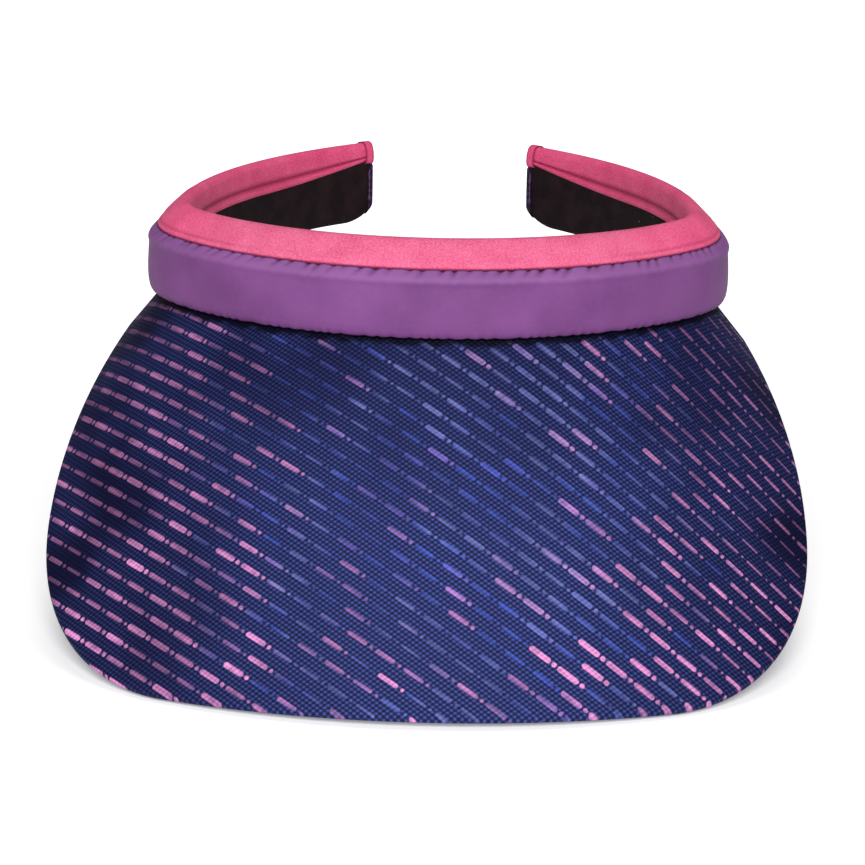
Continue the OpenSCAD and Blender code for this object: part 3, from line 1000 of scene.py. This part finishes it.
# cloth folded over each tip; in mm
tip = {
    "wrap": [
        (-4.0, -0.35), (-8.2, -0.1), (-9.15, 1.5), (-9.25, 8), (-9.2, 19.2), (-6, 19.6), (-3.5, 18.9),
        (0, 18.2), (2.7, 17.5), (3.85, 15), (4.05, 8), (4.0, 2), (2.8, -0.2), (0, -0.4),
    ],
    "tab": [
        (-4.0, 18.4), (-7.5, 18.8), (-9.4, 19.5), (-9.65, 21.2), (-9.45, 23.5), (-8.6, 25.8), (-7.0, 26.5),
        (-5.3, 26.1), (-3.7, 24.9), (-1.9, 22.8), (0.1, 20.6), (1.9, 18.9), (2.6, 17.9), (0, 17.9),
    ],
    "soften": 0.9,
    "points": 60,
    "lap": {"wrap": 3.4, "tab": 4.6},
    "cloth": 0.3,
    "end": 1.6,  # length of the rounded end
    "endFull": 0.8,  # under 1 squares it
    "endFlat": 0.04,  # share of the section that closes flat at its middle
    "endHigh": 0.35,  # share of the height that stays at the end
    "lapRings": 9,
    "endRings": 6,
    # painted shade along creases of the tab
    "tabPaintedShades": ((0, 0.5), (3.4, 0.6)),  # place from the edge of the lap, and width
    # painted shade over the wrap, left off where these waves meet
    "bitWaves": (1.7, 0.9),  # waves that let bits of the wrap's own colour through, and their sway
    "bitSway": (1.4, 2.2),
    "bitLevels": (0.85, 0.45),
    "fill": 0.5,
}


# a cup whose rings lap back over the arm and close in on the middle at the end: inner wall, from the end
# back to the edge of the lap, then the outer wall out again
def tipPart(name, kind, material):
    loop = smoothLine(tip[kind] + tip[kind][:1], tip["points"] + 1, tip["soften"])[:-1]
    middle = loop.mean(0)
    lap, end, cloth = (v * mm for v in (tip["lap"][kind], tip["end"], tip["cloth"]))
    q = np.linspace(0, math.pi / 2, tip["endRings"] + 1)[1:]
    lapPlace = tipEnd - lap + (lap - end) * np.linspace(0, 1, tip["lapRings"])
    place = np.r_[lapPlace, tipEnd - end + end * np.sin(q)]
    close = np.cos(q) ** tip["endFull"] * (1 - tip["endFlat"]) + tip["endFlat"]
    shrink = np.r_[np.ones(tip["lapRings"]), close]
    s = np.r_[place[::-1] - cloth * (shrink[::-1] < 1), place]
    shrink = np.r_[shrink[::-1], shrink]
    thin = np.r_[np.full(len(place), -cloth), np.zeros(len(place))]
    apart = loop - middle
    inward = 1 + thin[:, None, None] / np.linalg.norm(apart, axis=1, keepdims=True)[None]
    pull = np.stack([shrink, tip["endHigh"] + (1 - tip["endHigh"]) * shrink], -1)
    section = middle + apart[None] * inward * pull[:, None, :]
    r, z = section[..., 0], section[..., 1]
    past = (s - tipEnd + lap)[:, None] / mm
    # painted shade over nearly all of the wrap, with bits of its own colour where two swayed waves meet
    if kind == "wrap":  # dark, with bits of its own colour where two swayed waves meet
        z = tipLift(s, z)
        first, second = np.multiply.outer(tip["bitWaves"], z / mm)
        sway, often = tip["bitSway"]
        paintedShade = fade(np.sin(first + sway * np.sin(often * past)) * np.sin(second + past), *tip["bitLevels"])
    # painted shade on the tab, along a crease at the edge of the lap and one further out
    else:  # a crease at the edge of the lap and one further out
        paintedShade = np.max([np.exp(-(((past - at) / wide) ** 2)) for at, wide in tip["tabPaintedShades"]], 0)
    paintedShade = np.broadcast_to(paintedShade, z.shape)
    return loft(name, alongBand(s, r, z), np.r_[-place[::-1], place], material, paintedShade=paintedShade)


# upright row of stitches through the wrap's inner face
tack = {
    "count": 5,
    "low": 8.5 * mm,
    "high": 16.5 * mm,
    "inset": 2.9 * mm,  # from the tip
    "face": -9.2 * mm,
    "long": 1.8 * mm,
}


def tackRow(name):
    s = np.full(tack["count"], tipEnd - tack["inset"])
    z = np.linspace(tack["low"], tack["high"], tack["count"])
    return stitchRow(name, s, tack["face"], z, tack["long"], True, purpleThread)


# copy with x turned round, and its faces turned back
def mirrored(obj, name):
    mesh = obj.data.copy()
    mesh.transform(Matrix.Scale(-1, 4, (1, 0, 0)))
    mesh.flip_normals()
    mesh.name = name
    return addObject(name, mesh)


# tips, made for the right arm and mirrored
tips = {
    "Tab": (tipPart("rightTab", "tab", pink), "end_tab"),
    "Wrap": (tipPart("rightWrap", "wrap", paintedShadePurple), "end_wrap"),
    "Tacks": (tackRow("rightTacks"), "end_stitches"),
}
for word, (piece, node) in tips.items():
    other = mirrored(piece, "left" + word)
    rigid(piece, "right_arm", "right_" + node)
    rigid(other, "left_arm", "left_" + node)
print("tips made")

# brim: straight lines down a constant slope, square to the seam, out to a plan of tangent arcs
brim = {
    "slope": math.radians(50),
    "frontReach": 69.5 * mm,
    "width": 210 * mm,
    "frontRadius": 169 * mm,
    "cornerRadius": 63.5 * mm,
    "stop": 5 * mm,  # ahead of the temple line
    "end": 9.5 * mm,  # reach where it stops
    "thickness": 3.4 * mm,
    "cloth": 0.8 * mm,
    "hem": 1.5 * mm,
    "endFold": 0.9 * mm,  # both cloths run on past the board and meet
    "endTurn": math.radians(80),
    "levelRun": 6 * mm,  # run over which the level cut at the seam evens out
    # painted shade in the crease under the band
    "paintedCreaseShade": 2.1,  # mean run of the dark crease under the band, the waves of its edge and its fade, in mm
    "paintedShadeWaves": [(0.35, 1.9, 1, 4.3), (0.25, 0.8, 0, 1)],
    "paintedShadeFade": 1.2,
    "stations": 300,
    "points": 130,
    "edgePoints": 7,
    "endStations": 5,
    "flat": (250 * mm, 150 * mm),  # size as cut, and its area within the outline
    "flatArea": 0.0262,
}
stopHeading = math.acos(brim["stop"] / plan["templeRadius"])
brimStop = frontRun + plan["templeRadius"] * (stopHeading - frontTurn)


# distance from p along n to the far side of a circle
def farHit(px, py, nx, ny, cx, cy, radius):
    b = (px - cx) * nx + (py - cy) * ny
    return -b + np.sqrt(np.maximum(b**2 - (px - cx) ** 2 - (py - cy) ** 2 + radius**2, 0))


# reach of the brim in plan: to the front arc, the corner arc or the side arc, whichever the line meets
def brimReach(s):
    b = brim
    px, py, nx, ny = bandPath(np.abs(s))
    edgeY = b["frontRadius"] - (plan["frontRadius"] - frontY) - b["frontReach"]
    cornerX = b["width"] / 2 - b["cornerRadius"]
    drop = math.sqrt((b["frontRadius"] - b["cornerRadius"]) ** 2 - cornerX**2)
    widestY = edgeY - drop
    endIn = b["width"] / 2 - templeX - (plan["templeRadius"] + b["end"]) * math.sin(stopHeading)
    endBack = -widestY - (plan["templeRadius"] + b["end"]) * math.cos(stopHeading)
    sideRadius = (endIn**2 + endBack**2) / (2 * endIn)
    toFront = farHit(px, py, nx, ny, 0, edgeY, b["frontRadius"])
    toCorner = farHit(px, py, nx, ny, cornerX, widestY, b["cornerRadius"])
    toSide = farHit(px, py, nx, ny, b["width"] / 2 - sideRadius, widestY, sideRadius)
    onFront = (px + toFront * nx) * drop <= cornerX * (edgeY - py - toFront * ny)
    onCorner = py + toCorner * ny <= widestY
    return np.select([onFront, onCorner], [toFront, toCorner], toSide)


# the cloth laid flat: the seam unrolls to arcs that are flatter by the slope's cosine
def brimFlat(s, down):
    first = plan["frontRadius"] / math.cos(brim["slope"])
    second = plan["templeRadius"] / math.cos(brim["slope"])
    run = np.abs(s)[:, None]
    turn = frontRun / first
    onFront = run <= frontRun
    angle = np.where(onFront, run / first, turn + (run - frontRun) / second)
    radius = np.where(onFront, first, second)
    centreX = np.where(onFront, 0, (first - second) * math.sin(turn))
    centreY = np.where(onFront, first, first - (first - second) * math.cos(turn))
    side = np.where(s < 0, -1.0, 1.0)[:, None]
    x = side * (centreX + (radius + down) * np.sin(angle))
    return np.stack([x, centreY - (radius + down) * np.cos(angle)], -1)


# both cloths: a straight run down the slope, then a quarter of the round edge, and back one cloth's
# thickness inside; past the board's ends they round in to the middle of the brim's thickness
def brimPart(name, top, material):
    b = brim
    half = b["thickness"] / 2
    turn = np.linspace(0, b["endTurn"], b["endStations"] + 1)[1:]
    ends = brimStop + b["endFold"] * np.sin(turn)
    s = np.r_[-ends[::-1], np.linspace(-brimStop, brimStop, b["stations"]), ends]
    sink = np.r_[1 - np.cos(turn[::-1]), np.zeros(b["stations"]), 1 - np.cos(turn)][:, None]
    cosSlope = math.cos(b["slope"])
    sinSlope = math.sin(b["slope"])
    long = (half + (brimReach(s) - half * (1 - sinSlope)) / cosSlope)[:, None]
    a = np.linspace(0, math.pi / 2, b["edgePoints"] + 1)[1:]
    down = np.concatenate([np.linspace(0, 1, b["points"]) * (long - half), long - half + half * np.sin(a)], 1)
    under = np.r_[np.zeros(b["points"]), half * (1 - np.cos(a))]
    under = under + (half - under) * sink
    short = long - b["hem"]
    innerDown = np.where(sink > 0, down * short / long, np.minimum(down, short))
    innerUnder = np.r_[np.full(b["points"], b["cloth"]), b["cloth"] + (half - b["cloth"]) * a / a[-1]]
    innerUnder = np.where(sink > 0, half, innerUnder)
    if not top:
        under = b["thickness"] - under
        innerUnder = b["thickness"] - innerUnder
    lineDown = np.concatenate([down, innerDown[:, ::-1]], 1)
    lineUnder = np.concatenate([under, innerUnder[:, ::-1]], 1)
    # cut level at the seam, so each layer starts further up the slope the deeper it lies
    start = -lineUnder / math.tan(b["slope"])
    lineDown = lineDown + start * partWay(lineDown, b["levelRun"], 0)
    r = lineDown * cosSlope - lineUnder * sinSlope
    z = -lineDown * sinSlope - lineUnder * cosSlope
    # painted shade in the crease under the band, with an uneven edge
    edge = (b["paintedCreaseShade"] + waves(s / mm, b["paintedShadeWaves"]))[:, None]
    paintedShade = 1 - fade(lineDown / mm, edge, edge + b["paintedShadeFade"])
    return loft(name, alongBand(s, r, z), s, material, brimFlat(s, lineDown), paintedShade=paintedShade)


brimTop = rigid(brimPart("brimTopCloth", True, navyPrint), "front", "brim_top_cover")
brimUnder = rigid(brimPart("brimUnderCloth", False, navyUnder), "front", "brim_under_cover")

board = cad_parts["brim_board"]
board.data.materials.clear()
board.data.materials.append(coreMaterial("boardPlastic", False))
print("brim made")

# pale floor just under the brim's lowest edge, and two soft lights; in metres
studio = {
    "floorDrop": 0.0006,
    "floorSize": 60,
    "floorShade": (250, 250, 250),
    "floorFinish": {"Roughness": 0.9, "Emission Color": (1, 1, 1, 1)},
    "glow": (0.27, 0.95),  # near and far
    "glowBehind": (0.0, 0.7),
    "glowAround": (0.7, 1.6),
    "world": 0.1,
    "lights": {
        "keyLight": {"place": (0.05, -1.5, 0.85), "aim": (0, -0.03, -0.03), "size": 0.7, "power": 30},
        "topLight": {"place": (0.1, 0.1, 1.6), "aim": (0, 0, 0), "size": 1.0, "power": 7},
    },
}


# the floor glows more behind the object and far out all round, so that the background stays white
def makeFloor():
    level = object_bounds()[0].z - studio["floorDrop"]
    bpy.ops.mesh.primitive_plane_add(size=studio["floorSize"], location=(0, 0, level))
    floor = bpy.context.active_object
    floor.name = "floor"
    material, tree, shader = newMaterial("paleFloor")
    shader.inputs["Base Color"].default_value = colour(*studio["floorShade"])
    setFinish(shader, studio["floorFinish"])
    source = tree.nodes.new("ShaderNodeTexCoord")
    split = tree.nodes.new("ShaderNodeSeparateXYZ")
    tree.links.new(source.outputs["Object"], split.inputs[0])
    apart = tree.nodes.new("ShaderNodeVectorMath")
    apart.operation = "LENGTH"
    tree.links.new(source.outputs["Object"], apart.inputs[0])
    behind = ramp(tree, split.outputs[1], *studio["glowBehind"])
    around = ramp(tree, apart.outputs["Value"], *studio["glowAround"])
    far = calc(tree, "MAXIMUM", behind, around)
    put(tree, shader.inputs["Emission Strength"], between(tree, far, *studio["glow"]))
    floor.data.materials.append(material)
    return floor


# a round area light turned to what it lights
def softLight(name, place, aim, size, power):
    light = bpy.data.lights.new(name, "AREA")
    light.shape = "DISK"
    light.size = size
    light.energy = power
    obj = addObject(name, light)
    obj.location = place
    obj.rotation_euler = (Vector(aim) - Vector(place)).to_track_quat("-Z", "Y").to_euler()


makeFloor()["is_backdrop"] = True
world = bpy.data.worlds.new("studio")
bpy.context.scene.world = world
world.use_nodes = True
setFinish(world.node_tree.nodes["Background"], {"Color": (1, 1, 1, 1), "Strength": studio["world"]})
for lightName, light in studio["lights"].items():
    softLight(lightName, **light)
print("studio made")

# camera: a long lens just right of the middle, looking slightly down
shot = {
    "distance": 800 * mm,
    "yaw": math.radians(1.8),
    "rise": math.radians(10.71),
    "roll": math.radians(1.04),
    "focus": 2752,  # focal length and picture width, in pixels
    "picture": 865,
    "sensor": 36,
    "centreUp": 19.5 * mm,  # height that the distance and the rise are measured from
    "aimRight": -0.67 * mm,
    "aimUp": -42.88 * mm,
}


# the eye on a sphere round the band's seam, looking at the middle of the picture
def setCamera():
    yaw, rise = shot["yaw"], shot["rise"]
    eye = Vector((math.cos(rise) * math.sin(yaw), -math.cos(rise) * math.cos(yaw), math.sin(rise)))
    eye = eye * shot["distance"] + Vector((0, 0, shot["centreUp"]))
    aim = Vector((math.cos(yaw), math.sin(yaw), 0)) * shot["aimRight"] + Vector((0, 0, shot["aimUp"]))
    camera = addObject("camera", bpy.data.cameras.new("camera"))
    camera.location = eye
    look = (aim - eye).to_track_quat("-Z", "Y").to_matrix()
    camera.rotation_euler = (look @ Matrix.Rotation(shot["roll"], 3, "Z")).to_euler()
    camera.data.sensor_width = shot["sensor"]
    camera.data.lens = shot["focus"] / shot["picture"] * shot["sensor"]
    bpy.context.scene.camera = camera


setCamera()
bpy.context.scene.view_settings.view_transform = "Standard"  # plain colours, as in a cut-out product picture
print("camera set")
